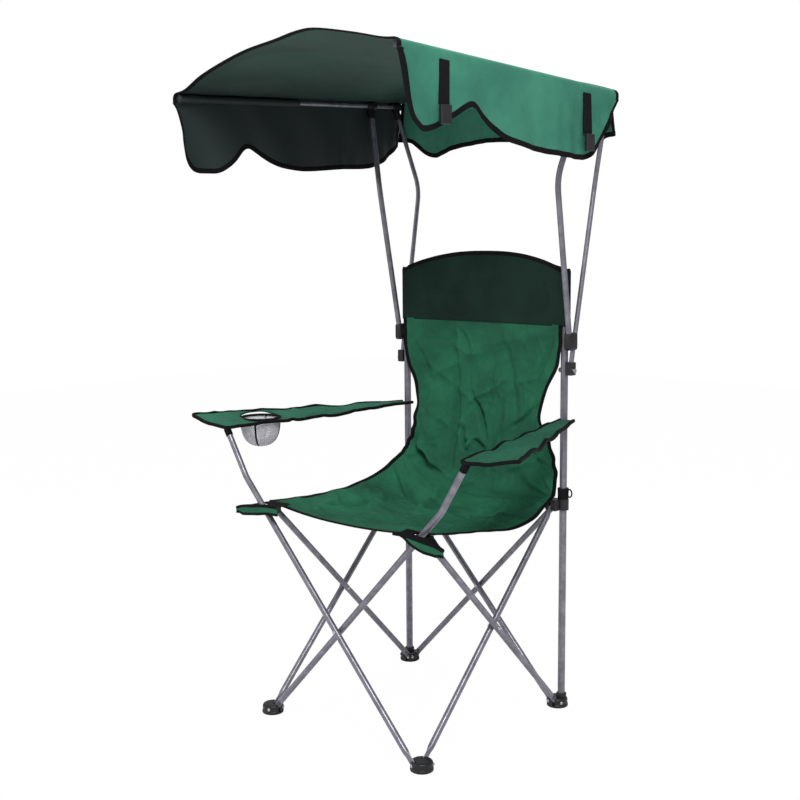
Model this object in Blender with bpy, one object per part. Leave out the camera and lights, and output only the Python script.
"""A folding camp chair with a canopy: four tube scissors, a fabric sling and a tilting sunshade.

The sitter looks along -Y, so +X is the sitter's left. The origin is on the ground, under the middle of the roof.
"""
import math

import bmesh
import bpy
from mathutils import Matrix, Vector

# Plan of the frame: the four corners of the square that the feet stand on
LEG_SPACING = 0.441
LEG_CENTRE_Y = 0.0325
PIN_INSET = 0.009
SIDE_PLANE_STEP = 0.007
FRONT_PLANE_SHIFT = 0.0125
PIN_HEIGHT = 0.0115
HUB_HEIGHT = 0.455

# Tubes of the scissors, round with flattened ends
TUBE_RADIUS = 0.0065
TUBE_WALL = 0.001
TUBE_SIDES = 12
FLAT_HALF_WIDTH = 0.007
FLAT_HALF_THICKNESS = 0.002
FLAT_LENGTH = 0.016
SQUEEZE_LENGTH = 0.014
ROUND_END_SHARES = (-0.92, -0.5)

# Rivets that the tubes turn on
PIN_RADIUS = 0.002
PIN_SIDES = 8
RUNNING_GAP = 0.0003
RIVET_HEAD_RADIUS = 0.0036
RIVET_HEAD_HEIGHT = 0.0014
CUT_OVERRUN = 0.004

# Arm posts, the front tubes carried on past the seat corners
ARM_LOWER_LENGTH = 0.085
ARM_BEND_RADIUS = 0.060
ARM_BEND_ANGLE = math.radians(12.0)
ARM_UPPER_LENGTH = 0.108
ARM_BEND_STEPS = 3

# Back posts
POST_RADIUS = 0.008
POST_WALL = 0.001
POST_SIDES = 14
POST_OUTSET = 0.008
POST_BOTTOM = 0.004
POST_TOP = 0.955
POST_CAP_HEIGHT = 0.003
POST_CAP_PLUG = 0.010

# Feet, round pads with a slot for each tube end
FOOT_RADIUS = 0.0235
FOOT_HEIGHT = 0.020
FOOT_EDGE = 0.0015
FOOT_TAPER = 0.003
FOOT_SIDES = 20
FRONT_FOOT_SHIFT = 0.005
BACK_FOOT_SHIFT = 0.002
FOOT_COLLAR_RADIUS = 0.0105
FOOT_COLLAR_HEIGHT = 0.028
SLOT_GAP = 0.0004
PIN_BITE = 0.004

# Seat corner hubs and the sliders on the back posts
HUB_HALF_HEIGHT = 0.0105
HUB_WALL = 0.0045
HUB_REACH = 0.011
HUB_BACK_REACH = 0.011
SLIDER_HALF_HEIGHT = 0.012
SLIDER_COLLAR_RADIUS = 0.0125
BLOCK_BEVEL = 0.0012

# Sling: seat and back in one run of cloth, sewn across where it folds
CLOTH = 0.002
SEAM_GAP = 0.0004
SLING_COLUMNS = 12
SEAT_ROWS = 8
BACK_ROWS = 15
BAND_ROWS = 4
SEAT_FRONT_HALF_WIDTH = 0.226
SEAT_REAR_HALF_WIDTH = 0.213
SEAT_FRONT_SETBACK = 0.004
SEAT_OVER_HUB = 0.0046
SEAT_REAR_SETBACK = 0.014
SEAT_REAR_RISE = 0.004
SEAT_SIDE_SAG = 0.012
SEAT_SAG = 0.040
SEAT_FRONT_DIP = 0.010
FLARE_SHARE = 0.34
WAIST_HALF_WIDTH = 0.162
WAIST_HEIGHT = 0.645
BACK_TOP_HALF_WIDTH = 0.2075
BAND_BOTTOM = 0.845
BAND_EDGE_TOP = 0.958
BAND_ARCH = 0.040
BACK_BELLY = 0.030
BACK_BELLY_SHARES = (0.0, 0.5, 1.0, 0.9, 0.4)
BAND_BELLY = 0.012
SLEEVE_WALL = 0.0016
SLEEVE_SIDES = 12
SLEEVE_TOP_WALL = 0.002

# Armrests
ARMREST_REAR_HEIGHT = 0.640
ARMREST_OVER_TUBE = 0.014
ARMREST_FRONT_REACH = 0.009
ARMREST_OUTSET = 0.058
ARMREST_OUTER_RISE = 0.008
ARMREST_FRONT_HALF_WIDTH = 0.071
ARMREST_REAR_OUTSET = 0.006
ARMREST_REAR_HALF_WIDTH = 0.025
ARMREST_SAG = 0.006
ARMREST_THICKNESS = 0.004
ARMREST_COLUMNS = 6
ARMREST_ROWS = 9
ARM_SOCKET_WALL = 0.002
ARM_SOCKET_DEPTH = 0.024
POST_SLEEVE_DEPTH = 0.018

# Cup holder in the right armrest
CUP_RADIUS = 0.047
CUP_SHARE = 0.247
CUP_RIM_WIDTH = 0.006
CUP_RIM_HEIGHT = 0.005
CUP_NET_DEPTH = 0.070
CUP_NET_BASE_RADIUS = 0.033
CUP_NET_FLOOR_SHARE = 0.7
CUP_NET_SHOULDER_SHARE = 0.12
CUP_NET_NECK_SHARE = 0.3
CUP_NET_WALL = 0.0018
CUP_SIDES = 20

# Canopy frame: uprights, rails, brackets, lower pivots
PIVOT_HEIGHT = 0.748
PIVOT_BOLT_RADIUS = 0.0028
PIVOT_HEAD_RADIUS = 0.0055
PIVOT_HEAD_HEIGHT = 0.0035
PIVOT_BLOCK_THICKNESS = 0.016
PIVOT_BLOCK_HALF_DEPTH = 0.009
PIVOT_BLOCK_BELOW = 0.010
PIVOT_BLOCK_ABOVE = 0.018
PIVOT_SOCKET_DEPTH = 0.010
REAR_UPRIGHT_RADIUS = 0.0052
FRONT_UPRIGHT_RADIUS = 0.0062
UPRIGHT_WALL = 0.0009
UPRIGHT_SIDES = 10
UPRIGHT_SPLAY = 0.008
BEND_BELOW_RAIL = 0.183
BEND_STEPS = 3
BEND_REACH = 0.030
UPRIGHT_TOP_GAP = 0.0022
REAR_BEND_BACK = 0.072
REAR_TEE_INSET = 0.0235
FRONT_BEND_FORWARD = 0.066
FRONT_TOP_FORWARD = 0.043
FRONT_UPRIGHT_FOOT_HEIGHT = 0.822
FRONT_UPRIGHT_FOOT_FORWARD = 0.009
BRACKET_BOTTOM = 0.787
BRACKET_TOP = 0.8405
BRACKET_WALL = 0.0035
HOOK_BELOW_TOP = 0.017
HOOK_HEIGHT = 0.012
HOOK_WALL = 0.003
RAIL_HALF_SPACING = 0.300
RAIL_HEIGHT = 1.333
RAIL_RADIUS = 0.005
RAIL_WALL = 0.0008
RAIL_SIDES = 10
RAIL_END_GAP = 0.006
CANOPY_RACK_SHARE = 0.047
CANOPY_LEVEL_Y = 0.0724
TEE_RADIUS = 0.0085
TEE_LENGTH = 0.026
TEE_SOCKET_DEPTH = 0.022

# Canopy cloth
ROOF_DEPTH = 0.670
ROOF_FORWARD = 0.0075
ROOF_CLEARANCE = 0.0105
ROOF_ARCH_FRONT = 0.058
ROOF_ARCH_REAR = 0.040
ROOF_ARCH_POWER = 2.2
ROOF_ACROSS = 12
ROOF_ALONG = 20
FLAP_ROWS = 3
CORNER_STEPS = 3
FLAP_DROP = 0.140
FLAP_DROP_SHARES = (
    (0.00, 0.56),
    (0.06, 0.92),
    (0.14, 1.00),
    (0.21, 0.86),
    (0.28, 0.56),
    (0.36, 0.80),
    (0.50, 0.98),
    (0.75, 1.10),
    (0.87, 0.90),
    (1.00, 0.44),
)
FLAP_FRONT_SLANT = 0.050
FLAP_SLANT_POWER = 6
FLAP_FOLD_DEPTH = 0.006
FLAP_FOLDS = 5
REAR_FLAP_DROP = 0.128
REAR_FLAP_INSET = 0.004
REAR_FLAP_LEAN = 0.018
REAR_FLAP_WAVE_SHARE = 0.18
REAR_FLAP_WAVES = 1.5
REAR_FLAP_FOLDS = 2.5
REAR_FLAP_ROWS = 4
STRAP_WIDTH = 0.025
STRAP_THICKNESS = 0.002
STRAP_CLEARANCE = 0.0008
FRONT_STRAP_DROP = 0.086
REAR_STRAP_DROP = 0.090
FRONT_STRAP_CELL = 3
REAR_STRAP_CELL = 16
STRAP_ROWS = 4
BUCKLE_LENGTH = 0.034
BUCKLE_WIDTH = 0.028
BUCKLE_THICKNESS = 0.007

# Places worked out from the sizes above
SIDE_X = LEG_SPACING / 2
FRONT_Y = LEG_CENTRE_Y - LEG_SPACING / 2
BACK_Y = LEG_CENTRE_Y + LEG_SPACING / 2
POST_X = SIDE_X + POST_OUTSET
POST_Y = BACK_Y + POST_OUTSET
RUN = LEG_SPACING - 2 * PIN_INSET
RISE = HUB_HEIGHT - PIN_HEIGHT
TUBE_LENGTH = math.hypot(RUN, RISE)
TUBE_ANGLE = math.atan2(RISE, RUN)
PIN_X = SIDE_X - PIN_INSET
PIN_FRONT = FRONT_Y + PIN_INSET
PIN_BACK = BACK_Y - PIN_INSET
FRONT_PLANE = FRONT_Y - FRONT_PLANE_SHIFT
HOLE_RADIUS = PIN_RADIUS + RUNNING_GAP
SLOT_HALF = FLAT_HALF_THICKNESS + SLOT_GAP
SLOT_ROUND = FLAT_HALF_WIDTH + SLOT_GAP
UPRIGHT_X = POST_X + POST_RADIUS + RUNNING_GAP + PIVOT_BLOCK_THICKNESS / 2
ROOF_FRONT = -ROOF_FORWARD - ROOF_DEPTH / 2
ROOF_REAR = ROOF_FRONT + ROOF_DEPTH
BEND_HEIGHT = RAIL_HEIGHT - BEND_BELOW_RAIL
LEFT = 1
RIGHT = -1
UP = Vector((0, 0, 1))
ACROSS = Vector((1, 0, 0))
ALONG = Vector((0, 1, 0))


def clear_scene():
    for item in list(bpy.data.objects):
        bpy.data.objects.remove(item, do_unlink=True)


def make_material(name, colour, roughness, metallic=0.0):
    material = bpy.data.materials.new(name)
    material.use_nodes = True
    shader = material.node_tree.nodes["Principled BSDF"]
    shader.inputs["Base Color"].default_value = (*colour, 1)
    shader.inputs["Roughness"].default_value = roughness
    shader.inputs["Metallic"].default_value = metallic
    material.diffuse_color = (*colour, 1)
    return material


def make_materials():
    return {
        "steel": make_material("coated_steel", (0.30, 0.29, 0.33), 0.38, 0.6),
        "bright": make_material("zinc_steel", (0.62, 0.62, 0.64), 0.30, 1.0),
        "black": make_material("black_plastic", (0.012, 0.012, 0.014), 0.45),
        "webbing": make_material("black_webbing", (0.014, 0.014, 0.016), 0.85),
        "green": make_material("green_polyester", (0.020, 0.155, 0.070), 0.80),
        "dark": make_material("dark_green_polyester", (0.012, 0.038, 0.024), 0.80),
        "roof": make_material("canopy_polyester", (0.030, 0.190, 0.110), 0.75),
        "net": make_material("grey_net", (0.28, 0.29, 0.30), 0.80),
    }


def add_object(name, mesh_data, material, smooth_angle=math.radians(35)):
    """Puts a bmesh into a named object, faces out, with its material and smooth shading."""
    bmesh.ops.recalc_face_normals(mesh_data, faces=mesh_data.faces)
    mesh = bpy.data.meshes.new(name)
    mesh_data.to_mesh(mesh)
    mesh_data.free()
    mesh.shade_smooth()
    mesh.set_sharp_from_angle(angle=smooth_angle)
    item = bpy.data.objects.new(name, mesh)
    bpy.context.collection.objects.link(item)
    if material is not None:
        mesh.materials.append(material)
    return item


def as_cutter(item):
    item.hide_render = True
    item.display_type = "WIRE"
    item.hide_set(True)
    return item


def combine(item, other, operation):
    """Adds a live Boolean of another object, which is left out of the model."""
    modifier = item.modifiers.new(other.name, "BOOLEAN")
    modifier.operation = operation
    modifier.solver = "EXACT"
    modifier.object = as_cutter(other)


def loft(rings, closed_ends=True):
    """Skins rings of points, in order, and closes the two ends with one face each."""
    shape = bmesh.new()
    rows = [[shape.verts.new(point) for point in ring] for ring in rings]
    count = len(rows[0])
    for lower, upper in zip(rows, rows[1:]):
        for i in range(count):
            j = (i + 1) % count
            shape.faces.new((lower[i], lower[j], upper[j], upper[i]))
    if closed_ends:
        shape.faces.new(rows[0])
        shape.faces.new(rows[-1])
    return shape


def ring(centre, side, other, half_side, half_other, count):
    """An ellipse of points around a centre."""
    points = []
    for i in range(count):
        turn = 2 * math.pi * i / count
        points.append(centre + side * (half_side * math.cos(turn)) + other * (half_other * math.sin(turn)))
    return points


def cylinder(name, start, end, radius, sides, material=None):
    axis = (end - start).normalized()
    side = axis.orthogonal().normalized()
    other = axis.cross(side)
    rings = [ring(point, side, other, radius, radius, sides) for point in (start, end)]
    return add_object(name, loft(rings), material)


def turned(name, centre, profile, sides, material=None):
    """A solid turned about a vertical line, from a profile of (radius, height) pairs."""
    rings = [ring(centre + UP * height, ACROSS, ALONG, radius, radius, sides) for radius, height in profile]
    return add_object(name, loft(rings), material)


def block(name, low, high, material=None, bevel=0.0):
    """A box between two corners, with its edges taken off where a bevel is asked for."""
    shape = bmesh.new()
    bmesh.ops.create_cube(shape, size=1.0)
    size = high - low
    middle = (high + low) / 2
    for vert in shape.verts:
        vert.co = Vector(vert.co[i] * size[i] + middle[i] for i in range(3))
    if bevel:
        bmesh.ops.bevel(shape, geom=shape.edges[:], offset=bevel, segments=1, affect="EDGES")
    return add_object(name, shape, material)


def pipe(name, points, radius, wall, sides, material):
    """A hollow round tube along a path, open at both ends."""
    shape = bmesh.new()
    outer, inner = [], []
    side = None
    for i, point in enumerate(points):
        before = points[max(i - 1, 0)]
        after = points[min(i + 1, len(points) - 1)]
        axis = (after - before).normalized()
        side = axis.orthogonal() if side is None else side - axis * side.dot(axis)
        side.normalize()
        other = axis.cross(side)
        outer.append([shape.verts.new(p) for p in ring(point, side, other, radius, radius, sides)])
        inner.append([shape.verts.new(p) for p in ring(point, side, other, radius - wall, radius - wall, sides)])
    for rows in (outer, inner):
        for lower, upper in zip(rows, rows[1:]):
            for i in range(sides):
                j = (i + 1) % sides
                shape.faces.new((lower[i], lower[j], upper[j], upper[i]))
    for end in (0, -1):
        for i in range(sides):
            j = (i + 1) % sides
            shape.faces.new((outer[end][i], outer[end][j], inner[end][j], inner[end][i]))
    return add_object(name, shape, material)


def sheet(name, rows, material, thickness):
    """Cloth: a grid of points given its thickness to both sides."""
    shape = bmesh.new()
    grid = [[shape.verts.new(point) for point in row] for row in rows]
    for lower, upper in zip(grid, grid[1:]):
        for i in range(len(lower) - 1):
            shape.faces.new((lower[i], lower[i + 1], upper[i + 1], upper[i]))
    item = add_object(name, shape, material)
    solid = item.modifiers.new("cloth", "SOLIDIFY")
    solid.thickness = thickness
    solid.offset = 0
    return item


def smooth_run(points, count):
    """Reads count points, evenly spaced in the parameter, from a smooth curve through the given ones."""
    last = len(points) - 1
    out = []
    for i in range(count):
        place = last * i / (count - 1)
        k = min(int(place), last - 1)
        t = place - k
        a = points[max(k - 1, 0)]
        b = points[k]
        c = points[k + 1]
        d = points[min(k + 2, last)]
        out.append(
            (b * 2 + (c - a) * t + (a * 2 - b * 5 + c * 4 - d) * t**2 + (b * 3 - a - c * 3 + d) * t**3) / 2
        )
    return out


def rounded_bend(start, corner, end, reach, steps):
    """A path with its corner replaced by a smooth bend that starts and ends the reach away."""
    before = corner + (start - corner).normalized() * reach
    after = corner + (end - corner).normalized() * reach
    bend = []
    for i in range(steps + 1):
        t = i / steps
        bend.append(before * (1 - t) ** 2 + corner * (2 * t * (1 - t)) + after * t**2)
    return [start, *bend, end]


def flat_end_stations(length):
    """Half width and half thickness along a tube that is squeezed flat at both ends."""
    near = [
        (FLAT_HALF_WIDTH * share, FLAT_HALF_WIDTH * math.sqrt(1 - share**2), FLAT_HALF_THICKNESS)
        for share in ROUND_END_SHARES
    ]
    near += [
        (FLAT_LENGTH, FLAT_HALF_WIDTH, FLAT_HALF_THICKNESS),
        (FLAT_LENGTH + SQUEEZE_LENGTH, TUBE_RADIUS, TUBE_RADIUS),
    ]
    far = [(length - s, a, b) for s, a, b in reversed(near)]
    return near, far


def scissor_tube(name, lower, outward, normal, material, arm=False):
    """One tube of a scissor, from its lower pin up and along the outward direction, in the plane of the normal."""
    direction = outward * math.cos(TUBE_ANGLE) + UP * math.sin(TUBE_ANGLE)
    near, far = flat_end_stations(TUBE_LENGTH)
    stations = near + ([] if arm else far)
    rings, core = [], []

    def add_ring(target, point, heading, half_width, half_thickness):
        width_way = normal.cross(heading)
        target.append(ring(point, width_way, normal, half_width, half_thickness, TUBE_SIDES))

    bore = TUBE_RADIUS - TUBE_WALL
    for s, half_width, half_thickness in stations:
        add_ring(rings, lower + direction * s, direction, half_width, half_thickness)
    add_ring(core, lower + direction * (FLAT_LENGTH + SQUEEZE_LENGTH), direction, bore, bore)
    if arm:
        straight = TUBE_LENGTH + ARM_LOWER_LENGTH
        bend_start = lower + direction * straight
        inward = (UP - direction * UP.dot(direction)).normalized()
        bend_centre = bend_start + inward * ARM_BEND_RADIUS
        for i in range(ARM_BEND_STEPS + 1):
            turn = ARM_BEND_ANGLE * i / ARM_BEND_STEPS
            heading = direction * math.cos(turn) + inward * math.sin(turn)
            point = bend_centre + (direction * math.sin(turn) - inward * math.cos(turn)) * ARM_BEND_RADIUS
            add_ring(rings, point, heading, TUBE_RADIUS, TUBE_RADIUS)
            add_ring(core, point, heading, bore, bore)
        top = point + heading * ARM_UPPER_LENGTH
        add_ring(rings, top, heading, TUBE_RADIUS, TUBE_RADIUS)
        add_ring(core, top + heading * CUT_OVERRUN, heading, bore, bore)
    else:
        add_ring(core, lower + direction * (TUBE_LENGTH - FLAT_LENGTH - SQUEEZE_LENGTH), direction, bore, bore)
    tube = add_object(name, loft(rings), material)
    combine(tube, add_object(name + "_bore_cut", loft(core), None), "DIFFERENCE")
    reach = normal * (TUBE_RADIUS + CUT_OVERRUN)
    for place, share in (("lower", 0.0), ("middle", 0.5), ("upper", 1.0)):
        point = lower + direction * (TUBE_LENGTH * share)
        hole = cylinder(f"{name}_{place}_hole_cut", point - reach, point + reach, HOLE_RADIUS, PIN_SIDES)
        combine(tube, hole, "DIFFERENCE")
    return tube


def tube_table():
    """Lower pin, outward direction and plane normal of each of the eight scissor tubes."""
    front_outer = FRONT_PLANE - SIDE_PLANE_STEP
    front_inner = FRONT_PLANE + SIDE_PLANE_STEP
    return {
        "arm_tube_right": (Vector((PIN_X, front_outer, PIN_HEIGHT)), -ACROSS, ALONG, True),
        "arm_tube_left": (Vector((-PIN_X, front_inner, PIN_HEIGHT)), ACROSS, ALONG, True),
        "left_tube_outer": (Vector((SIDE_X + SIDE_PLANE_STEP, PIN_BACK, PIN_HEIGHT)), -ALONG, ACROSS, False),
        "left_tube_inner": (Vector((SIDE_X - SIDE_PLANE_STEP, PIN_FRONT, PIN_HEIGHT)), ALONG, ACROSS, False),
        "right_tube_outer": (Vector((-SIDE_X - SIDE_PLANE_STEP, PIN_FRONT, PIN_HEIGHT)), ALONG, ACROSS, False),
        "right_tube_inner": (Vector((-SIDE_X + SIDE_PLANE_STEP, PIN_BACK, PIN_HEIGHT)), -ALONG, ACROSS, False),
        "back_tube_inner": (Vector((PIN_X, BACK_Y - SIDE_PLANE_STEP, PIN_HEIGHT)), -ACROSS, ALONG, False),
        "back_tube_outer": (Vector((-PIN_X, BACK_Y + SIDE_PLANE_STEP, PIN_HEIGHT)), ACROSS, ALONG, False),
    }


def make_tubes(looks):
    for name, (lower, outward, normal, arm) in tube_table().items():
        scissor_tube(name, lower, outward, normal, looks["steel"], arm)


def rivet(name, centre, normal, half_span, material):
    """A headed rivet through a crossing, turned as one solid."""
    inner = half_span + RUNNING_GAP
    outer = inner + RIVET_HEAD_HEIGHT
    side = normal.orthogonal().normalized()
    other = normal.cross(side)
    edge = RIVET_HEAD_RADIUS * math.cos(math.pi / 4)
    profile = [
        (edge, -outer),
        (RIVET_HEAD_RADIUS, -inner),
        (PIN_RADIUS, -inner),
        (PIN_RADIUS, inner),
        (RIVET_HEAD_RADIUS, inner),
        (edge, outer),
    ]
    rings = [ring(centre + normal * s, side, other, radius, radius, PIN_SIDES) for radius, s in profile]
    return add_object(name, loft(rings), material)


def make_crossing_rivets(looks):
    middle = PIN_HEIGHT + RISE / 2
    half_span = SIDE_PLANE_STEP + TUBE_RADIUS
    rivet("crossing_rivet_front", Vector((0, FRONT_PLANE, middle)), ALONG, half_span, looks["bright"])
    rivet("crossing_rivet_back", Vector((0, BACK_Y, middle)), ALONG, half_span, looks["bright"])
    rivet("crossing_rivet_left", Vector((SIDE_X, LEG_CENTRE_Y, middle)), ACROSS, half_span, looks["bright"])
    rivet("crossing_rivet_right", Vector((-SIDE_X, LEG_CENTRE_Y, middle)), ACROSS, half_span, looks["bright"])


def cut_slot(item, label, pin, open_way, normal, reach, bottom, top):
    """Cuts the slot that a flat tube end turns in: it is open the open way, and as deep as it is told."""
    low_way = pin - open_way * SLOT_ROUND
    high_way = pin + open_way * reach
    corners = [low_way + normal * SLOT_HALF, high_way - normal * SLOT_HALF]
    low = Vector(min(a, b) for a, b in zip(*corners))
    high = Vector(max(a, b) for a, b in zip(*corners))
    low.z = bottom
    high.z = top
    combine(item, block(f"{item.name}_{label}_slot_cut", low, high), "DIFFERENCE")


def add_pin(item, label, pin, normal, back, ahead):
    """Adds the pin across a slot, fused to its two walls, ahead along the normal and back behind it."""
    start = pin - normal * back
    end = pin + normal * ahead
    combine(item, cylinder(f"{item.name}_{label}_pin_add", start, end, PIN_RADIUS, PIN_SIDES), "UNION")


def foot_pins():
    """For each foot: the pads' centre, and the pin, way in and plane normal of its two tube ends."""
    front_outer = FRONT_PLANE - SIDE_PLANE_STEP
    front_inner = FRONT_PLANE + SIDE_PLANE_STEP
    front = FRONT_Y - FRONT_FOOT_SHIFT
    back = BACK_Y + BACK_FOOT_SHIFT
    out = SIDE_X + BACK_FOOT_SHIFT
    return {
        "foot_front_left": (
            Vector((SIDE_X, front, 0)),
            (Vector((PIN_X, front_outer, PIN_HEIGHT)), -ACROSS, ALONG),
            (Vector((SIDE_X - SIDE_PLANE_STEP, PIN_FRONT, PIN_HEIGHT)), ALONG, ACROSS),
        ),
        "foot_front_right": (
            Vector((-SIDE_X, front, 0)),
            (Vector((-PIN_X, front_inner, PIN_HEIGHT)), ACROSS, ALONG),
            (Vector((-SIDE_X - SIDE_PLANE_STEP, PIN_FRONT, PIN_HEIGHT)), ALONG, ACROSS),
        ),
        "foot_back_left": (
            Vector((out, back, 0)),
            (Vector((PIN_X, BACK_Y - SIDE_PLANE_STEP, PIN_HEIGHT)), -ACROSS, ALONG),
            (Vector((SIDE_X + SIDE_PLANE_STEP, PIN_BACK, PIN_HEIGHT)), -ALONG, ACROSS),
        ),
        "foot_back_right": (
            Vector((-out, back, 0)),
            (Vector((-PIN_X, BACK_Y + SIDE_PLANE_STEP, PIN_HEIGHT)), ACROSS, ALONG),
            (Vector((-SIDE_X + SIDE_PLANE_STEP, PIN_BACK, PIN_HEIGHT)), -ALONG, ACROSS),
        ),
    }


def make_feet(looks):
    profile = [
        (FOOT_RADIUS - FOOT_EDGE, 0),
        (FOOT_RADIUS, FOOT_EDGE),
        (FOOT_RADIUS - FOOT_EDGE / 2, FOOT_HEIGHT - FOOT_TAPER),
        (FOOT_RADIUS - FOOT_TAPER, FOOT_HEIGHT),
    ]
    for name, (centre, *pins) in foot_pins().items():
        foot = turned(name, centre, profile, FOOT_SIDES, looks["black"])
        if "back" in name:
            side = math.copysign(1, centre.x)
            post = Vector((side * POST_X, POST_Y, 0))
            collar_foot = post + UP * (FOOT_HEIGHT / 2)
            collar_top = post + UP * FOOT_COLLAR_HEIGHT
            collar = cylinder(name + "_collar_add", collar_foot, collar_top, FOOT_COLLAR_RADIUS, POST_SIDES)
            combine(foot, collar, "UNION")
            bore_foot = post + UP * (POST_BOTTOM - RUNNING_GAP)
            bore_top = collar_top + UP * CUT_OVERRUN
            bore = cylinder(name + "_bore_cut", bore_foot, bore_top, POST_RADIUS + RUNNING_GAP, POST_SIDES)
            combine(foot, bore, "DIFFERENCE")
        reach = 2 * FOOT_RADIUS
        for label, (pin, open_way, normal) in zip(("cross", "side"), pins):
            top = FOOT_COLLAR_HEIGHT + CUT_OVERRUN
            cut_slot(foot, label, pin, open_way, normal, reach, PIN_HEIGHT - SLOT_ROUND, top)
        for label, (pin, open_way, normal) in zip(("cross", "side"), pins):
            bite = SLOT_HALF + PIN_BITE
            add_pin(foot, label, pin, normal, bite, bite)


def make_hubs(looks):
    """The two blocks under the front seat corners: a side tube ends in each and an arm tube passes it."""
    low_z = HUB_HEIGHT - HUB_HALF_HEIGHT
    high_z = HUB_HEIGHT + HUB_HALF_HEIGHT
    slot_top = HUB_HEIGHT + SLOT_ROUND
    back = PIN_FRONT + HUB_BACK_REACH
    reach = HUB_BACK_REACH + CUT_OVERRUN
    head_gap = TUBE_RADIUS + RUNNING_GAP

    arm_plane = FRONT_PLANE - SIDE_PLANE_STEP
    face = arm_plane + TUBE_RADIUS + RUNNING_GAP
    slot_x = -SIDE_X + SIDE_PLANE_STEP
    low = Vector((-PIN_X - HUB_REACH, face, low_z))
    high = Vector((slot_x + SLOT_HALF + HUB_WALL, back, high_z))
    hub = block("seat_hub_right", low, high, looks["black"], BLOCK_BEVEL)
    side_pin = Vector((slot_x, PIN_FRONT, HUB_HEIGHT))
    cut_slot(hub, "side", side_pin, ALONG, ACROSS, reach, low_z - CUT_OVERRUN, slot_top)
    add_pin(hub, "side", side_pin, ACROSS, SLOT_HALF + PIN_BITE / 2, SLOT_HALF + PIN_BITE / 2)
    arm_pin = Vector((-PIN_X, face + PIN_BITE, HUB_HEIGHT))
    finish_arm_pin(hub, arm_pin, arm_plane - head_gap)

    arm_plane = FRONT_PLANE + SIDE_PLANE_STEP
    face = arm_plane + TUBE_RADIUS + RUNNING_GAP
    slot_x = SIDE_X + SIDE_PLANE_STEP
    low = Vector((PIN_X - HUB_REACH, face, low_z))
    high = Vector((slot_x + SLOT_HALF + HUB_WALL, back, high_z))
    hub = block("seat_hub_left", low, high, looks["black"], BLOCK_BEVEL)
    side_pin = Vector((slot_x, PIN_FRONT, HUB_HEIGHT))
    cut_slot(hub, "side", side_pin, ALONG, ACROSS, reach, low_z - CUT_OVERRUN, slot_top)
    add_pin(hub, "side", side_pin, ACROSS, SLOT_HALF + PIN_BITE / 2, SLOT_HALF + PIN_BITE / 2)
    arm_pin = Vector((PIN_X, face + PIN_BITE, HUB_HEIGHT))
    finish_arm_pin(hub, arm_pin, arm_plane - head_gap)


def finish_arm_pin(hub, start, head_y):
    """Runs a hub's pin forward through the arm tube, to a head just clear of the tube's front."""
    neck = Vector((start.x, head_y, start.z))
    shank_end = neck - ALONG * (RIVET_HEAD_HEIGHT / 2)
    combine(hub, cylinder(hub.name + "_arm_pin_add", start, shank_end, PIN_RADIUS, PIN_SIDES), "UNION")
    cap_end = neck - ALONG * RIVET_HEAD_HEIGHT
    combine(hub, cylinder(hub.name + "_arm_head_add", neck, cap_end, RIVET_HEAD_RADIUS, PIN_SIDES), "UNION")


def make_sliders(looks):
    """The collars that ride up the back posts, each with the upper ends of two tubes."""
    low_z = HUB_HEIGHT - SLIDER_HALF_HEIGHT
    high_z = HUB_HEIGHT + SLIDER_HALF_HEIGHT
    slot_top = HUB_HEIGHT + SLOT_ROUND
    reach = HUB_REACH + CUT_OVERRUN
    for name, side in (("slider_left", LEFT), ("slider_right", RIGHT)):
        back_plane = BACK_Y + side * SIDE_PLANE_STEP
        side_plane = side * (SIDE_X - side * SIDE_PLANE_STEP)
        inner_x = side * (PIN_X - HUB_REACH)
        outer_x = side * POST_X
        low = Vector((min(inner_x, outer_x), PIN_BACK - HUB_REACH, low_z))
        high = Vector((max(inner_x, outer_x), POST_Y, high_z))
        slider = block(name, low, high, looks["black"], BLOCK_BEVEL)
        post = Vector((side * POST_X, POST_Y, HUB_HEIGHT))
        rise = UP * SLIDER_HALF_HEIGHT
        collar = cylinder(name + "_collar_add", post - rise, post + rise, SLIDER_COLLAR_RADIUS, POST_SIDES)
        combine(slider, collar, "UNION")
        through = UP * (SLIDER_HALF_HEIGHT + CUT_OVERRUN)
        bore = cylinder(name + "_bore_cut", post - through, post + through, POST_RADIUS + RUNNING_GAP, POST_SIDES)
        combine(slider, bore, "DIFFERENCE")
        back_pin = Vector((side * PIN_X, back_plane, HUB_HEIGHT))
        side_pin = Vector((side_plane, PIN_BACK, HUB_HEIGHT))
        bottom = low_z - CUT_OVERRUN
        cut_slot(slider, "back", back_pin, -side * ACROSS, ALONG, reach, bottom, slot_top)
        cut_slot(slider, "side", side_pin, -ALONG, ACROSS, reach, bottom, slot_top)
        bite = SLOT_HALF + PIN_BITE / 2
        add_pin(slider, "back", back_pin, ALONG, bite, bite)
        add_pin(slider, "side", side_pin, ACROSS, bite, bite)


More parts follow.
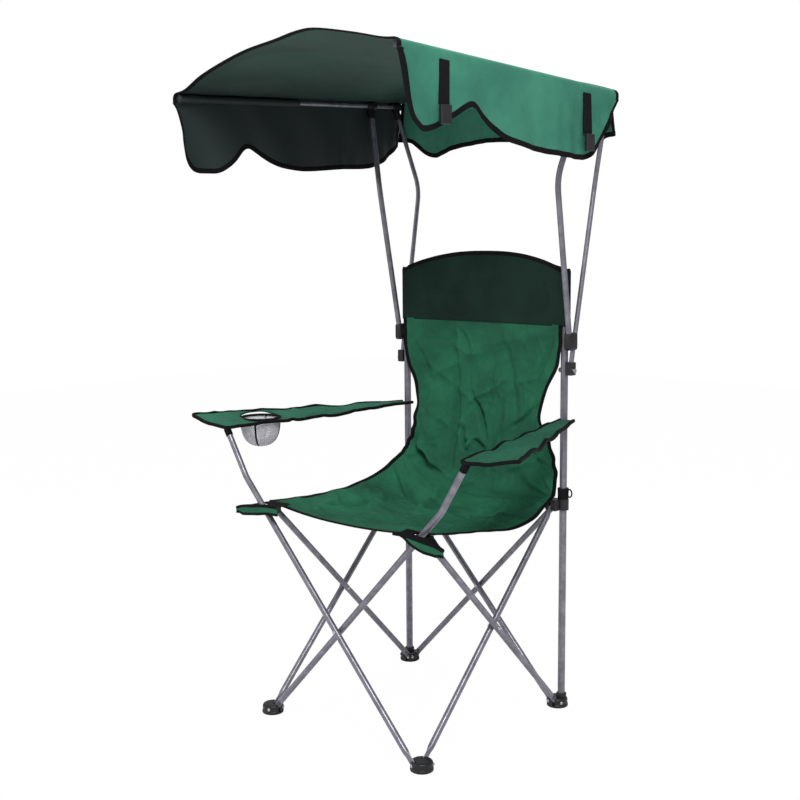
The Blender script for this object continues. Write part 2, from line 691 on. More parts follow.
def make_posts(looks):
    for name, side in (("back_post_left", LEFT), ("back_post_right", RIGHT)):
        foot = Vector((side * POST_X, POST_Y, POST_BOTTOM))
        top = Vector((side * POST_X, POST_Y, POST_TOP))
        post = pipe(name, [foot, top], POST_RADIUS, POST_WALL, POST_SIDES, looks["steel"])
        pivot = Vector((side * POST_X, POST_Y, PIVOT_HEIGHT))
        reach = ACROSS * (POST_RADIUS + CUT_OVERRUN)
        radius = PIVOT_BOLT_RADIUS + RUNNING_GAP
        combine(post, cylinder(name + "_bolt_cut", pivot - reach, pivot + reach, radius, PIN_SIDES), "DIFFERENCE")
        plug_radius = POST_RADIUS - POST_WALL - RUNNING_GAP
        rest = POST_TOP + RUNNING_GAP
        profile = [
            (plug_radius, POST_TOP - POST_CAP_PLUG),
            (plug_radius, rest),
            (POST_RADIUS, rest),
            (POST_RADIUS, rest + POST_CAP_HEIGHT / 2),
            (plug_radius, rest + POST_CAP_HEIGHT),
        ]
        cap_name = name.replace("back_post", "post_cap")
        turned(cap_name, Vector((side * POST_X, POST_Y, 0)), profile, POST_SIDES, looks["black"])


def sling_edge_points():
    """The sling's left edge, from the front of the seat to the foot of the head band."""
    seat_z = HUB_HEIGHT + HUB_HALF_HEIGHT + SEAT_OVER_HUB
    flare_z = seat_z + (WAIST_HEIGHT - seat_z) * FLARE_SHARE
    upper_z = WAIST_HEIGHT + (BAND_BOTTOM - WAIST_HEIGHT) / 2
    flare_x = SEAT_REAR_HALF_WIDTH + (WAIST_HALF_WIDTH - SEAT_REAR_HALF_WIDTH) * FLARE_SHARE / 2
    upper_x = (WAIST_HALF_WIDTH + BACK_TOP_HALF_WIDTH) / 2
    front = FRONT_Y + SEAT_FRONT_SETBACK
    rear = BACK_Y - SEAT_REAR_SETBACK
    middle_y = (front + rear) / 2
    middle_x = (SEAT_FRONT_HALF_WIDTH + SEAT_REAR_HALF_WIDTH) / 2
    seat = [
        Vector((SEAT_FRONT_HALF_WIDTH, front, seat_z)),
        Vector((middle_x, middle_y, seat_z - SEAT_SIDE_SAG)),
        Vector((SEAT_REAR_HALF_WIDTH, rear, seat_z + SEAT_REAR_RISE)),
    ]
    back = [
        Vector((SEAT_REAR_HALF_WIDTH, rear, seat_z + SEAT_REAR_RISE)),
        Vector((flare_x, BACK_Y - SEAT_REAR_SETBACK / 2, flare_z)),
        Vector((WAIST_HALF_WIDTH, BACK_Y, WAIST_HEIGHT)),
        Vector((upper_x, POST_Y, upper_z)),
        Vector((BACK_TOP_HALF_WIDTH, POST_Y, BAND_BOTTOM)),
    ]
    return seat, back


def sling_middle_points():
    """The sling's centre line beside those edge points: it sags in the seat and bellies back behind the sitter."""
    seat, back = sling_edge_points()
    front, middle, rear = seat
    seat_line = [
        Vector((0, front.y, front.z - SEAT_FRONT_DIP)),
        Vector((0, middle.y, middle.z - SEAT_SAG + SEAT_SIDE_SAG)),
        Vector((0, rear.y, rear.z - SEAT_SAG / 2)),
    ]
    drops = [SEAT_SAG / 2, SEAT_SAG / 4, 0, 0, 0]
    back_line = []
    for point, share, fall in zip(back, BACK_BELLY_SHARES, drops):
        back_line.append(Vector((0, point.y + BACK_BELLY * share, point.z - fall)))
    return seat_line, back_line


def sling_rows(edge, middle, count, columns):
    """Rows of points across the sling, each a shallow curve from edge to edge."""
    rows = []
    for side, centre in zip(smooth_run(edge, count), smooth_run(middle, count)):
        row = []
        for i in range(columns + 1):
            u = 2 * i / columns - 1
            share = u * u
            row.append(Vector((side.x * u, *(centre.yz * (1 - share) + side.yz * share))))
        rows.append(row)
    return rows


def trim_rows(rows, at_start, at_end):
    """Draws the first and last rows of a panel back from its neighbours."""
    first = [a + (b - a).normalized() * at_start for a, b in zip(rows[0], rows[1])]
    last = [a + (b - a).normalized() * at_end for a, b in zip(rows[-1], rows[-2])]
    return [first, *rows[1:-1], last]


def make_sling(looks):
    seat_edge, back_edge = sling_edge_points()
    seat_middle, back_middle = sling_middle_points()
    seat = sling_rows(seat_edge, seat_middle, 2 * SEAT_ROWS - 1, SLING_COLUMNS)
    half = SEAM_GAP / 2
    front_rows = trim_rows(seat[:SEAT_ROWS], 0, half)
    rear_rows = trim_rows(seat[SEAT_ROWS - 1 :], half, half)
    sheet("seat_cloth_front", front_rows, looks["green"], CLOTH)
    sheet("seat_cloth_rear", rear_rows, looks["green"], CLOTH)
    back = sling_rows(back_edge, back_middle, BACK_ROWS, SLING_COLUMNS)
    seam_rise = CLOTH / 2 + RUNNING_GAP
    sheet("back_cloth", trim_rows(back, seam_rise, half), looks["green"], CLOTH)


def make_head_band(looks):
    """The dark band over the top of the back, with a closed pocket over each post."""
    sleeve_inner = POST_RADIUS + RUNNING_GAP
    sleeve_outer = sleeve_inner + SLEEVE_WALL
    rows = []
    for i in range(BAND_ROWS + 1):
        rise = i / BAND_ROWS
        row = []
        for k in range(SLING_COLUMNS + 1):
            u = 2 * k / SLING_COLUMNS - 1
            arch = BAND_ARCH * rise * (1 - u * u)
            low = BAND_BOTTOM + SEAM_GAP / 2
            z = low + (BAND_EDGE_TOP - low) * rise + arch
            belly = BACK_BELLY * BACK_BELLY_SHARES[-1] * (1 - rise) + BAND_BELLY * rise
            y = POST_Y + belly * (1 - u * u)
            row.append(Vector((u * (POST_X - sleeve_inner - SLEEVE_WALL / 2), y, z)))
        rows.append(row)
    band = sheet("head_band", rows, looks["dark"], CLOTH)
    for label, side in (("left", LEFT), ("right", RIGHT)):
        centre = Vector((side * POST_X, POST_Y, 0))
        low = centre + UP * (BAND_BOTTOM + SEAM_GAP / 2)
        cap_top = POST_TOP + RUNNING_GAP + POST_CAP_HEIGHT + RUNNING_GAP
        high = centre + UP * (cap_top + SLEEVE_TOP_WALL)
        pocket = cylinder(f"head_band_{label}_pocket_add", low, high, sleeve_outer, SLEEVE_SIDES)
        combine(band, pocket, "UNION")
    for label, side in (("left", LEFT), ("right", RIGHT)):
        centre = Vector((side * POST_X, POST_Y, 0))
        low = centre + UP * (BAND_BOTTOM - CUT_OVERRUN)
        high = centre + UP * (POST_TOP + RUNNING_GAP + POST_CAP_HEIGHT + RUNNING_GAP)
        room = cylinder(f"head_band_{label}_pocket_cut", low, high, sleeve_inner, SLEEVE_SIDES)
        combine(band, room, "DIFFERENCE")


def arm_top(side):
    """The open upper end of an arm tube, and the way it points."""
    name = "arm_tube_left" if side == LEFT else "arm_tube_right"
    lower, outward, normal, arm = tube_table()[name]
    direction = outward * math.cos(TUBE_ANGLE) + UP * math.sin(TUBE_ANGLE)
    inward = (UP - direction * UP.dot(direction)).normalized()
    bend_start = lower + direction * (TUBE_LENGTH + ARM_LOWER_LENGTH)
    centre = bend_start + inward * ARM_BEND_RADIUS
    heading = direction * math.cos(ARM_BEND_ANGLE) + inward * math.sin(ARM_BEND_ANGLE)
    turned_point = direction * math.sin(ARM_BEND_ANGLE) - inward * math.cos(ARM_BEND_ANGLE)
    end = centre + turned_point * ARM_BEND_RADIUS + heading * ARM_UPPER_LENGTH
    return end, heading


def armrest_line(side):
    """The middle of an armrest's front and rear ends: the arm tube's open top is near the inner front corner."""
    top, _ = arm_top(side)
    rear = Vector((side * (POST_X + ARMREST_REAR_OUTSET), POST_Y, ARMREST_REAR_HEIGHT))
    front = Vector((top.x + side * ARMREST_OUTSET, top.y - ARMREST_FRONT_REACH, top.z + ARMREST_OVER_TUBE))
    return front, rear


def armrest_point(side, v, u):
    """A point of an armrest at a share of its length and, outwards, of its half width: it narrows and sags."""
    front, rear = armrest_line(side)
    half = ARMREST_FRONT_HALF_WIDTH + (ARMREST_REAR_HALF_WIDTH - ARMREST_FRONT_HALF_WIDTH) * v
    sag = ARMREST_SAG * math.sin(math.pi * v) ** 2 * (1 - u * u / 2)
    lift = ARMREST_OUTER_RISE * u * (1 - v)
    return front + (rear - front) * v + ACROSS * (side * half * u) + UP * (lift - sag)


def armrest_rows(side):
    grid = []
    for i in range(ARMREST_ROWS + 1):
        shares = [2 * k / ARMREST_COLUMNS - 1 for k in range(ARMREST_COLUMNS + 1)]
        grid.append([armrest_point(side, i / ARMREST_ROWS, u) for u in shares])
    return grid


def cup_centre():
    return armrest_point(RIGHT, CUP_SHARE, 0)


def make_armrests(looks):
    for name, side in (("armrest_left", LEFT), ("armrest_right", RIGHT)):
        rest = sheet(name, armrest_rows(side), looks["green"], ARMREST_THICKNESS)
        end, heading = arm_top(side)
        outer = TUBE_RADIUS + RUNNING_GAP + ARM_SOCKET_WALL
        lid = end + heading * (RUNNING_GAP + ARM_SOCKET_WALL)
        pocket = cylinder(name + "_pocket_add", end - heading * ARM_SOCKET_DEPTH, lid, outer, SLEEVE_SIDES)
        combine(rest, pocket, "UNION")
        post = Vector((side * POST_X, POST_Y, ARMREST_REAR_HEIGHT))
        sleeve_outer = POST_RADIUS + RUNNING_GAP + ARM_SOCKET_WALL
        low = post - UP * (POST_SLEEVE_DEPTH / 2)
        high = post + UP * (POST_SLEEVE_DEPTH / 2)
        combine(rest, cylinder(name + "_sleeve_add", low, high, sleeve_outer, SLEEVE_SIDES), "UNION")
        over = UP * CUT_OVERRUN
        radius = POST_RADIUS + RUNNING_GAP
        combine(rest, cylinder(name + "_post_cut", low - over, high + over, radius, SLEEVE_SIDES), "DIFFERENCE")
        room = end + heading * RUNNING_GAP
        foot = end - heading * (ARM_SOCKET_DEPTH + CUT_OVERRUN)
        radius = TUBE_RADIUS + RUNNING_GAP
        combine(rest, cylinder(name + "_tube_cut", foot, room, radius, SLEEVE_SIDES), "DIFFERENCE")
        if side == RIGHT:
            centre = cup_centre()
            reach = ARMREST_SAG + ARMREST_OUTER_RISE + ARMREST_THICKNESS
            hole = turned(name + "_cup_cut", centre, [(CUP_RADIUS, -reach), (CUP_RADIUS, reach)], CUP_SIDES)
            combine(rest, hole, "DIFFERENCE")


def make_cup_holder(looks):
    """The bound rim in the armrest's hole and the net bag under it."""
    centre = cup_centre()
    outer = CUP_RADIUS - RUNNING_GAP
    inner = outer - CUP_RIM_WIDTH
    half = CUP_RIM_HEIGHT / 2
    turned_wall(
        "cup_rim",
        centre,
        [(outer, -half), (outer, half), (inner, half), (inner, -half)],
        looks["webbing"],
    )
    top = -half - RUNNING_GAP
    wall = CUP_NET_WALL
    mouth = outer - CUP_RIM_WIDTH / 3
    bottom = top - CUP_NET_DEPTH
    floor = CUP_NET_BASE_RADIUS * CUP_NET_FLOOR_SHARE
    shoulder = bottom + CUP_NET_DEPTH * CUP_NET_SHOULDER_SHARE
    neck = top - CUP_NET_DEPTH * CUP_NET_NECK_SHARE
    turned_wall(
        "cup_net",
        centre,
        [
            (0, bottom),
            (floor, bottom),
            (CUP_NET_BASE_RADIUS, shoulder),
            (mouth - wall, neck),
            (mouth, top),
            (mouth - wall, top),
            (mouth - 2 * wall, neck),
            (CUP_NET_BASE_RADIUS - wall, shoulder + wall / 2),
            (floor - wall / 2, bottom + wall),
            (0, bottom + wall),
        ],
        looks["net"],
    )


def turned_wall(name, centre, profile, material):
    """A wall turned about a vertical line from a closed outline, which may start and end on the line."""
    shape = bmesh.new()
    on_axis = profile[0][0] == 0
    rows = []
    for radius, height in profile:
        middle = centre + UP * height
        if radius == 0:
            rows.append([shape.verts.new(middle)])
        else:
            rows.append([shape.verts.new(p) for p in ring(middle, ACROSS, ALONG, radius, radius, CUP_SIDES)])
    pairs = list(zip(rows, rows[1:]))
    if not on_axis:
        pairs.append((rows[-1], rows[0]))
    for lower, upper in pairs:
        for i in range(CUP_SIDES):
            j = (i + 1) % CUP_SIDES
            corners = [lower[i % len(lower)], lower[j % len(lower)], upper[j % len(upper)], upper[i % len(upper)]]
            corners = list(dict.fromkeys(corners))
            if len(corners) > 2:
                shape.faces.new(corners)
    return add_object(name, shape, material)


def rack_rise(x, y):
    """How far the canopy stands out of level at a place: racked, its left front corner is high and its right one low."""
    return CANOPY_RACK_SHARE * (x / RAIL_HALF_SPACING) * (CANOPY_LEVEL_Y - y)


def upright_paths(side):
    """Centre lines of a side's rear and front uprights, from the pivot block and the bracket up to the rail."""
    upper_x = side * (UPRIGHT_X + UPRIGHT_SPLAY)
    top_x = side * RAIL_HALF_SPACING
    top_z = RAIL_HEIGHT - RAIL_RADIUS - UPRIGHT_TOP_GAP
    rear_foot = Vector((side * UPRIGHT_X, POST_Y, PIVOT_HEIGHT + PIVOT_BLOCK_ABOVE - PIVOT_SOCKET_DEPTH))
    rear_bend = Vector((upper_x, POST_Y + REAR_BEND_BACK, BEND_HEIGHT))
    rear_top = Vector((top_x, ROOF_REAR - REAR_TEE_INSET, top_z))
    spread = (FRONT_UPRIGHT_FOOT_HEIGHT - PIVOT_HEIGHT) / (BEND_HEIGHT - PIVOT_HEIGHT) * UPRIGHT_SPLAY
    front_foot_x = side * (UPRIGHT_X + spread)
    front_foot = Vector((front_foot_x, POST_Y - FRONT_UPRIGHT_FOOT_FORWARD, FRONT_UPRIGHT_FOOT_HEIGHT))
    front_bend = Vector((upper_x, POST_Y - FRONT_BEND_FORWARD, BEND_HEIGHT))
    front_top = Vector((top_x, POST_Y - FRONT_TOP_FORWARD, top_z))
    for top in (rear_top, front_top):
        top.z += rack_rise(top.x, top.y)
    rear = rounded_bend(rear_foot, rear_bend, rear_top, BEND_REACH, BEND_STEPS)
    front = rounded_bend(front_foot, front_bend, front_top, BEND_REACH, BEND_STEPS)
    return rear, front


def rail_line(side):
    """The front and rear ends of a side's rail, which follows the racked roof."""
    ends = []
    for y in (ROOF_FRONT + RAIL_END_GAP, ROOF_REAR - RAIL_END_GAP):
        x = side * RAIL_HALF_SPACING
        ends.append(Vector((x, y, RAIL_HEIGHT + rack_rise(x, y))))
    return ends


def make_canopy_frame(looks):
    for label, side in (("left", LEFT), ("right", RIGHT)):
        rear, front = upright_paths(side)
        pipe(f"upright_rear_{label}", rear, REAR_UPRIGHT_RADIUS, UPRIGHT_WALL, UPRIGHT_SIDES, looks["steel"])
        pipe(f"upright_front_{label}", front, FRONT_UPRIGHT_RADIUS, UPRIGHT_WALL, UPRIGHT_SIDES, looks["steel"])
        ends = rail_line(side)
        pipe(f"canopy_rail_{label}", ends, RAIL_RADIUS, RAIL_WALL, RAIL_SIDES, looks["steel"])
        along = (ends[1] - ends[0]).normalized()
        make_tee(f"rail_tee_front_{label}", front, along, FRONT_UPRIGHT_RADIUS, looks)
        make_tee(f"rail_tee_rear_{label}", rear, along, REAR_UPRIGHT_RADIUS, looks)
        make_pivot(label, side, rear, looks)
        make_bracket(label, side, rear, front, looks)


def make_tee(name, path, along, radius, looks):
    """The plastic piece that joins an upright's top to the rail, which runs along a direction."""
    top = path[-1]
    way = (path[-1] - path[-2]).normalized()
    rail = Vector((top.x, top.y, RAIL_HEIGHT + rack_rise(top.x, top.y)))
    half = along * (TEE_LENGTH / 2)
    tee = cylinder(name, rail - half, rail + half, TEE_RADIUS, UPRIGHT_SIDES, looks["black"])
    outer = radius + RUNNING_GAP + UPRIGHT_WALL
    combine(tee, cylinder(name + "_socket_add", top - way * TEE_SOCKET_DEPTH, top, outer, UPRIGHT_SIDES), "UNION")
    through = half + along * CUT_OVERRUN
    bore = cylinder(name + "_rail_cut", rail - through, rail + through, RAIL_RADIUS + RUNNING_GAP, RAIL_SIDES)
    combine(tee, bore, "DIFFERENCE")
    foot = top - way * (TEE_SOCKET_DEPTH + CUT_OVERRUN)
    room = cylinder(name + "_upright_cut", foot, top + way * RUNNING_GAP, radius + RUNNING_GAP, UPRIGHT_SIDES)
    combine(tee, room, "DIFFERENCE")


def make_pivot(label, side, rear, looks):
    """The block at the foot of a rear upright, and the bolt that it turns on."""
    name = f"pivot_block_{label}"
    half = PIVOT_BLOCK_THICKNESS / 2
    centre = Vector((side * UPRIGHT_X, POST_Y, PIVOT_HEIGHT))
    low = centre - Vector((half, PIVOT_BLOCK_HALF_DEPTH, PIVOT_BLOCK_BELOW))
    high = centre + Vector((half, PIVOT_BLOCK_HALF_DEPTH, PIVOT_BLOCK_ABOVE))
    pivot = block(name, low, high, looks["black"], BLOCK_BEVEL)
    way = (rear[1] - rear[0]).normalized()
    seat = rear[0] - way * RUNNING_GAP
    mouth = rear[0] + way * (PIVOT_SOCKET_DEPTH + CUT_OVERRUN)
    room = cylinder(name + "_upright_cut", seat, mouth, REAR_UPRIGHT_RADIUS + RUNNING_GAP, UPRIGHT_SIDES)
    combine(pivot, room, "DIFFERENCE")
    reach = ACROSS * (half + CUT_OVERRUN)
    radius = PIVOT_BOLT_RADIUS + RUNNING_GAP
    combine(pivot, cylinder(name + "_bolt_cut", centre - reach, centre + reach, radius, PIN_SIDES), "DIFFERENCE")

    post_x = side * POST_X
    inner = post_x - side * (POST_RADIUS + RUNNING_GAP)
    outer = side * (UPRIGHT_X + half + RUNNING_GAP)
    stations = [
        (PIVOT_HEAD_RADIUS, inner - side * PIVOT_HEAD_HEIGHT),
        (PIVOT_HEAD_RADIUS, inner),
        (PIVOT_BOLT_RADIUS, inner),
        (PIVOT_BOLT_RADIUS, outer),
        (PIVOT_HEAD_RADIUS, outer),
        (PIVOT_HEAD_RADIUS, outer + side * PIVOT_HEAD_HEIGHT),
    ]
    rings = [ring(Vector((x, POST_Y, PIVOT_HEIGHT)), ALONG, UP, r, r, PIN_SIDES) for r, x in stations]
    add_object(f"pivot_bolt_{label}", loft(rings), looks["bright"])


def path_point(path, height):
    """The point of a rising path at a height."""
    for lower, upper in zip(path, path[1:]):
        if lower.z <= height <= upper.z:
            return lower + (upper - lower) * ((height - lower.z) / (upper.z - lower.z))
    return path[0] if height < path[0].z else path[-1]


def make_bracket(label, side, rear, front, looks):
    """The plastic clamp that holds the front upright beside the rear one, and hooks behind the post."""
    name = f"canopy_bracket_{label}"
    rear_low = path_point(rear, BRACKET_BOTTOM)
    rear_high = path_point(rear, BRACKET_TOP)
    front_high = path_point(front, BRACKET_TOP)
    inner_x = POST_X + POST_RADIUS + RUNNING_GAP
    outer_x = abs(front_high.x) + FRONT_UPRIGHT_RADIUS + BRACKET_WALL
    low_y = front_high.y - FRONT_UPRIGHT_RADIUS - BRACKET_WALL
    high_y = rear_high.y + REAR_UPRIGHT_RADIUS + BRACKET_WALL
    low = Vector((min(side * inner_x, side * outer_x), low_y, BRACKET_BOTTOM))
    high = Vector((max(side * inner_x, side * outer_x), high_y, BRACKET_TOP))
    bracket = block(name, low, high, looks["black"], BLOCK_BEVEL)
    hook_z = BRACKET_TOP - HOOK_BELOW_TOP
    back_y = POST_Y + POST_RADIUS + RUNNING_GAP
    inside = POST_X - POST_RADIUS - RUNNING_GAP - HOOK_WALL
    xs = sorted((side * (inner_x + HOOK_WALL), side * inside))
    hook_low = Vector((xs[0], back_y, hook_z - HOOK_HEIGHT / 2))
    hook_high = Vector((xs[1], back_y + HOOK_WALL, hook_z + HOOK_HEIGHT / 2))
    combine(bracket, block(name + "_hook_add", hook_low, hook_high), "UNION")
    xs = sorted((side * inside, side * (inside + HOOK_WALL)))
    lip_low = Vector((xs[0], POST_Y, hook_z - HOOK_HEIGHT / 2))
    lip_high = Vector((xs[1], back_y + HOOK_WALL / 2, hook_z + HOOK_HEIGHT / 2))
    combine(bracket, block(name + "_lip_add", lip_low, lip_high), "UNION")
    way = (rear_high - rear_low).normalized() * CUT_OVERRUN
    radius = REAR_UPRIGHT_RADIUS + RUNNING_GAP
    room = cylinder(name + "_rear_cut", rear_low - way, rear_high + way, radius, UPRIGHT_SIDES)
    combine(bracket, room, "DIFFERENCE")
    way = (front[1] - front[0]).normalized()
    foot = front[0] - way * RUNNING_GAP
    mouth = front_high + way * (2 * CUT_OVERRUN)
    radius = FRONT_UPRIGHT_RADIUS + RUNNING_GAP
    combine(bracket, cylinder(name + "_front_cut", foot, mouth, radius, UPRIGHT_SIDES), "DIFFERENCE")


def flap_drop(v):
    """How far the side flap hangs at a share of the roof's depth: two lobes with a notch between them."""
    for (a, low), (b, high) in zip(FLAP_DROP_SHARES, FLAP_DROP_SHARES[1:]):
        if v <= b:
            t = (v - a) / (b - a)
            t = t * t * (3 - 2 * t)
            return FLAP_DROP * (low + (high - low) * t)
    return FLAP_DROP * FLAP_DROP_SHARES[-1][1]


def flap_point(v, depth):
    """A point of the left flap at a share of the roof's depth and a share of the way down: it hangs in soft folds."""
    fold = FLAP_FOLD_DEPTH * depth * math.sin(2 * math.pi * FLAP_FOLDS * v)
    slant = FLAP_FRONT_SLANT * depth * (1 - v) ** FLAP_SLANT_POWER
    start = ROOF_CLEARANCE / 2
    drop = start + (flap_drop(v) - start) * depth
    y = ROOF_FRONT + ROOF_DEPTH * v + slant
    return Vector((RAIL_HALF_SPACING + ROOF_CLEARANCE + fold, y, RAIL_HEIGHT - drop))


def roof_height(u, v):
    """Height of the roof over the rails at a share across, -1 to 1, and a share of its depth."""
    arch = ROOF_ARCH_FRONT + (ROOF_ARCH_REAR - ROOF_ARCH_FRONT) * v
    return arch * (1 - abs(u) ** ROOF_ARCH_POWER)


def canopy_section(v):
    """One cross-section of roof and side flaps, from the right flap's hem over the roof to the left flap's hem."""
    y = ROOF_FRONT + ROOF_DEPTH * v
    top = RAIL_HEIGHT + ROOF_CLEARANCE
    half = [tuple(flap_point(v, 1 - i / FLAP_ROWS)) for i in range(FLAP_ROWS + 1)]
    for i in range(1, CORNER_STEPS + 1):
        turn = math.pi / 2 * i / CORNER_STEPS
        x = RAIL_HALF_SPACING + ROOF_CLEARANCE * math.cos(turn)
        half.append((x, y, RAIL_HEIGHT + ROOF_CLEARANCE * math.sin(turn)))
    across = []
    for i in range(1, ROOF_ACROSS):
        u = 1 - 2 * i / ROOF_ACROSS
        across.append((RAIL_HALF_SPACING * u, y, top + roof_height(u, v)))
    right = [(-x, y_, z) for x, y_, z in half]
    left = list(reversed(half))
    section = right + list(reversed(across)) + left
    return [Vector((x, y_, z + rack_rise(x, y_))) for x, y_, z in section]


def make_canopy_cloth(looks):
    rows = [canopy_section(i / ROOF_ALONG) for i in range(ROOF_ALONG + 1)]
    sheet("canopy_roof", rows, looks["roof"], CLOTH)
    rear_rows = []
    for i in range(REAR_FLAP_ROWS + 1):
        depth = i / REAR_FLAP_ROWS
        row = []
        for k in range(ROOF_ACROSS + 1):
            u = 2 * k / ROOF_ACROSS - 1
            wave = 1 - REAR_FLAP_WAVE_SHARE * (1 - math.cos(2 * math.pi * REAR_FLAP_WAVES * u))
            start = RAIL_HEIGHT + ROOF_CLEARANCE + roof_height(u, 1) - CLOTH / 2 - SEAM_GAP
            x = u * (RAIL_HALF_SPACING - RAIL_RADIUS - REAR_FLAP_INSET)
            fold = REAR_FLAP_INSET * depth * math.sin(2 * math.pi * REAR_FLAP_FOLDS * u)
            y = ROOF_REAR - CLOTH - REAR_FLAP_INSET + fold + REAR_FLAP_LEAN * depth
            row.append(Vector((x, y, start - REAR_FLAP_DROP * wave * depth + rack_rise(x, y))))
        rear_rows.append(row)
    sheet("canopy_rear_flap", rear_rows, looks["roof"], CLOTH)


def strap_point(cell, side, drop):
    """A point on the strap's middle surface: it lies on the flap between two of the roof's lines."""
    lines = [cell / ROOF_ALONG, (cell + 1) / ROOF_ALONG]
    y = ROOF_FRONT + ROOF_DEPTH * (lines[0] + lines[1]) / 2 + side * STRAP_WIDTH / 2
    share = (y - ROOF_FRONT) / ROOF_DEPTH * ROOF_ALONG - cell
    xs = [flap_point(v, drop / flap_drop(v)).x for v in lines]
    outside = CLOTH / 2 + STRAP_CLEARANCE + STRAP_THICKNESS / 2
    x = xs[0] + (xs[1] - xs[0]) * share
    return Vector((x + outside, y, RAIL_HEIGHT - drop + rack_rise(x, y)))


def make_straps(looks):
    """Two webbing straps on the left flap, each ending in half of a side-release buckle."""
    places = (("front", FRONT_STRAP_CELL, FRONT_STRAP_DROP), ("rear", REAR_STRAP_CELL, REAR_STRAP_DROP))
    for label, cell, drop in places:
        rows = []
        for i in range(STRAP_ROWS + 1):
            fall = ROOF_CLEARANCE + (drop - ROOF_CLEARANCE) * i / STRAP_ROWS
            rows.append([strap_point(cell, LEFT, fall), strap_point(cell, RIGHT, fall)])
        sheet(f"canopy_strap_{label}", rows, looks["webbing"], STRAP_THICKNESS)
        end = (rows[-1][0] + rows[-1][1]) / 2
        lines = [cell / ROOF_ALONG, (cell + 1) / ROOF_ALONG]
        falls = [drop, drop + BUCKLE_LENGTH]
        widest = max(flap_point(v, fall / flap_drop(v)).x for v in lines for fall in falls)
        inner = widest + CLOTH / 2 + RUNNING_GAP
        bottom = min(point.z for point in rows[-1]) - RUNNING_GAP
        low_corner = Vector((inner, end.y - BUCKLE_WIDTH / 2, bottom - BUCKLE_LENGTH))
        high_corner = Vector((inner + BUCKLE_THICKNESS, end.y + BUCKLE_WIDTH / 2, bottom))
        block(f"strap_buckle_{label}", low_corner, high_corner, looks["black"], BLOCK_BEVEL)


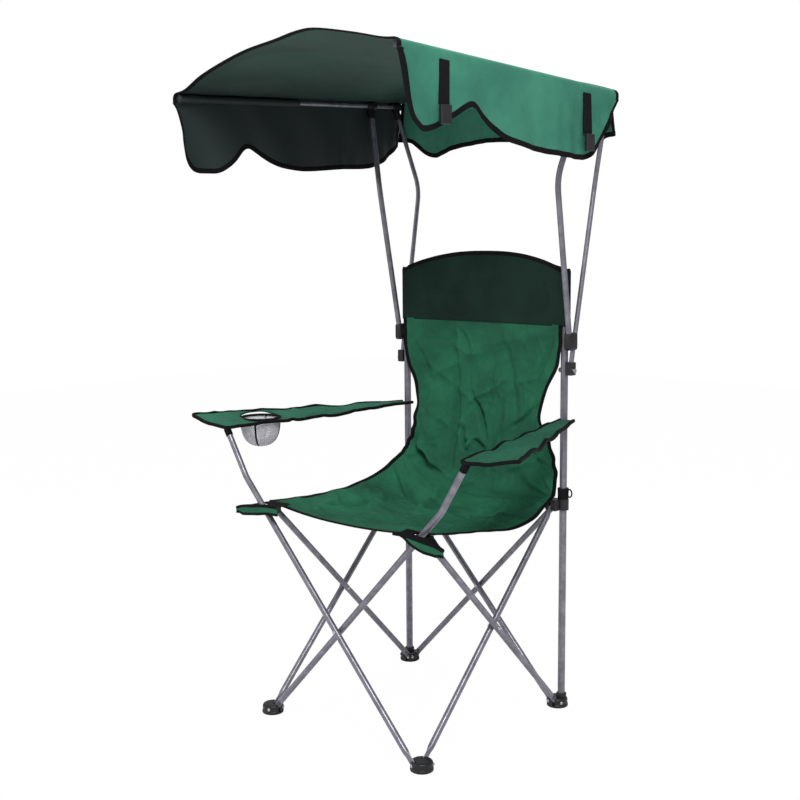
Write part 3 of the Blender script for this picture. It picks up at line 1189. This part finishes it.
def folding_bodies():
    """Each moving group: the group that carries it, a point on the joint between them, and its pieces."""
    table = tube_table()
    up = UP * RISE

    def lower(name):
        return table[name][0]

    def upper(name):
        start, outward, normal, arm = table[name]
        return start + outward * RUN + up

    def middle(name):
        return (lower(name) + upper(name)) / 2

    left_pivot = Vector((UPRIGHT_X, POST_Y, PIVOT_HEIGHT))
    right_pivot = Vector((-UPRIGHT_X, POST_Y, PIVOT_HEIGHT))
    cloth_front = Vector((0, FRONT_Y + SEAT_FRONT_SETBACK, HUB_HEIGHT + HUB_HALF_HEIGHT + SEAT_OVER_HUB))
    cloth_rear = Vector((0, BACK_Y - SEAT_REAR_SETBACK, cloth_front.z + SEAT_REAR_RISE))
    return {
        "back_tube_inner_axis": (None, lower("back_tube_inner"), ["back_tube_inner", "crossing_rivet_back"]),
        "back_tube_outer_axis": ("back_tube_inner_axis", middle("back_tube_outer"), ["back_tube_outer"]),
        "right_post_axis": (
            "back_tube_outer_axis",
            lower("back_tube_outer"),
            [
                "foot_back_right",
                "back_post_right",
                "post_cap_right",
                "pivot_bolt_right",
                "armrest_right",
                "cup_rim",
                "cup_net",
            ],
        ),
        "right_tube_inner_axis": (
            "right_post_axis",
            lower("right_tube_inner"),
            ["right_tube_inner", "crossing_rivet_right"],
        ),
        "right_tube_outer_axis": ("right_tube_inner_axis", middle("right_tube_outer"), ["right_tube_outer"]),
        "foot_front_right_axis": ("right_tube_outer_axis", lower("right_tube_outer"), ["foot_front_right"]),
        "seat_hub_right_axis": ("right_tube_inner_axis", upper("right_tube_inner"), ["seat_hub_right"]),
        "left_tube_outer_axis": (None, lower("left_tube_outer"), ["left_tube_outer", "crossing_rivet_left"]),
        "left_tube_inner_axis": ("left_tube_outer_axis", middle("left_tube_inner"), ["left_tube_inner"]),
        "foot_front_left_axis": ("left_tube_inner_axis", lower("left_tube_inner"), ["foot_front_left"]),
        "arm_tube_right_axis": (
            "foot_front_left_axis",
            lower("arm_tube_right"),
            ["arm_tube_right", "crossing_rivet_front"],
        ),
        "arm_tube_left_axis": ("arm_tube_right_axis", middle("arm_tube_left"), ["arm_tube_left"]),
        "seat_hub_left_axis": ("left_tube_outer_axis", upper("left_tube_outer"), ["seat_hub_left"]),
        "slider_left_axis": ("back_tube_outer_axis", upper("back_tube_outer"), ["slider_left"]),
        "slider_right_axis": ("back_tube_inner_axis", upper("back_tube_inner"), ["slider_right"]),
        "seat_front_axis": ("seat_hub_left_axis", cloth_front, ["seat_cloth_front"]),
        "seat_rear_axis": ("slider_left_axis", cloth_rear, ["seat_cloth_rear"]),
        "canopy_left_axis": (
            None,
            left_pivot,
            [
                "pivot_block_left",
                "upright_rear_left",
                "upright_front_left",
                "canopy_bracket_left",
                "rail_tee_front_left",
                "rail_tee_rear_left",
                "canopy_rail_left",
                "canopy_roof",
                "canopy_rear_flap",
                "canopy_strap_front",
                "canopy_strap_rear",
                "strap_buckle_front",
                "strap_buckle_rear",
            ],
        ),
        "canopy_right_axis": (
            "right_post_axis",
            right_pivot,
            [
                "pivot_block_right",
                "upright_rear_right",
                "upright_front_right",
                "canopy_bracket_right",
                "rail_tee_front_right",
                "rail_tee_rear_right",
                "canopy_rail_right",
            ],
        ),
    }


def hang(child, carrier, place):
    """Parents an object to an empty without moving it."""
    child.parent = carrier
    child.matrix_parent_inverse = Matrix.Translation(-place)


def make_joint_empties():
    """One empty on each joint's axis carries its group, and is carried by the group before it."""
    bodies = folding_bodies()
    empties = {}
    for name, (carrier, place, pieces) in bodies.items():
        empty = bpy.data.objects.new(name, None)
        empty.empty_display_size = FOOT_RADIUS
        bpy.context.collection.objects.link(empty)
        empties[name] = empty
        empty.location = place
        if carrier:
            hang(empty, empties[carrier], bodies[carrier][1])
        for piece in pieces:
            hang(bpy.data.objects[piece], empty, place)


def main():
    clear_scene()
    looks = make_materials()
    make_posts(looks)
    make_feet(looks)
    make_tubes(looks)
    make_crossing_rivets(looks)
    make_hubs(looks)
    make_sliders(looks)
    make_sling(looks)
    make_head_band(looks)
    make_armrests(looks)
    make_cup_holder(looks)
    make_canopy_frame(looks)
    make_canopy_cloth(looks)
    make_straps(looks)
    make_joint_empties()


main()
